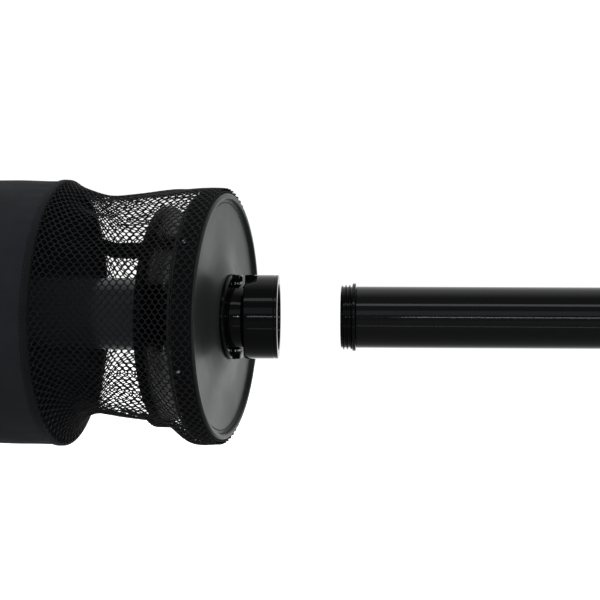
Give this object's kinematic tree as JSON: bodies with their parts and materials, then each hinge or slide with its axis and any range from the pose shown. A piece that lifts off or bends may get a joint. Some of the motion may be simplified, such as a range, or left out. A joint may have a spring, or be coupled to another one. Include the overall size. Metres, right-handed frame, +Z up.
{
  "type": "collecting net bag",
  "caption": "Collecting bag of mesh and fabric on a stiff round end plate, with a turning screw collar, an inner standpipe, a screw-in tube and a zipped end lid.",
  "frame": {"origin": "centre of the collar's mouth, where the tube screws in", "axes": "+X along the tube, away from the bag, +Z up"},
  "size_m": [1.0849, 0.2818, 0.2104],
  "materials": {
    "end_plate": "fine grain",
    "gloss_black": "gloss",
    "satin_black": "satin",
    "rubber": "matt",
    "steel": "bright",
    "mesh_cord": "knotted mesh",
    "black_fabric": "coated plain weave",
    "webbing": "ribbed webbing",
    "zip_nylon": "moulded"
  },
  "bodies": {
    "neck": {"neck_pipe": "gloss_black", "seal_washer": "rubber", "collar_clip": "steel"},
    "end_frame": {"end_plate": "end_plate", "hub_ring": "gloss_black", "swivel_pin_upper": "steel", "swivel_pin_lower": "steel", "inner_sleeve": "gloss_black", "ring_nut": "satin_black", "plate_gasket": "rubber", "spreader_plate": "satin_black", "standpipe": "gloss_black", "standpipe_lip": "rubber", "hem_band": "black_fabric", "hem_cord": "rubber", "net": "mesh_cord", "rear_strap": "webbing", "spreader_screw_1": "steel", "spreader_screw_2": "steel", "spreader_screw_3": "steel", "spreader_screw_4": "steel", "hem_rivet_1": "steel", "hem_rivet_2": "steel", "hem_rivet_3": "steel", "hem_rivet_4": "steel", "hem_rivet_5": "steel", "hem_rivet_6": "steel"},
    "collar": {"collar": "gloss_black"},
    "tube": {"tube_thread_end": "gloss_black", "tube_pipe": "gloss_black", "tube_mouth_ring": "satin_black"},
    "bag": {"fabric_wall": "black_fabric", "rim_binding": "webbing", "base_binding": "webbing", "rim_hoop": "steel", "base_hoop": "steel", "zip_tape": "webbing", "zip_teeth": "zip_nylon"},
    "lid": {"lid_tape": "webbing", "lid_stiffener": "satin_black", "lid_panel": "black_fabric", "lid_handle": "webbing"},
    "zip": {"zip_slider": "steel"},
    "pull": {"zip_pull": "steel"}
  },
  "joints": [
    {"name": "neck_swivel", "type": "hinge", "parent": "neck", "child": "end_frame", "pos_m": [-0.034, 0, 0], "axis": [0, 0, 1], "range_deg": [-2.4, 26.6]},
    {"name": "collar_turn", "type": "hinge", "parent": "neck", "child": "collar", "pos_m": [0, 0, 0], "axis": [1, 0, 0], "continuous": true},
    {"name": "tube_pull", "type": "slide", "parent": "neck", "child": "tube", "axis": [1, 0, 0], "range_m": [-0.0573, 0.1]},
    {"name": "bag_fold", "type": "slide", "parent": "end_frame", "child": "bag", "axis": [0.9796, -0.2011, 0], "range_m": [0, 0.085], "deforming": ["net", "rear_strap"]},
    {"name": "lid_hinge", "type": "hinge", "parent": "bag", "child": "lid", "pos_m": [-0.44385, 0.08413, 0.1049], "axis": [0.2011, 0.9796, 0], "range_deg": [0, 110]},
    {"name": "zip_run", "type": "hinge", "parent": "bag", "child": "zip", "pos_m": [-0.44302, 0.08396, 0], "axis": [0.9796, -0.2011, 0], "range_deg": [0, 300]},
    {"name": "pull_swing", "type": "hinge", "parent": "zip", "child": "pull", "pos_m": [-0.45399, 0.03052, 0.09448], "axis": [-0.9796, 0.2011, 0], "range_deg": [0, 150]}
  ]
}
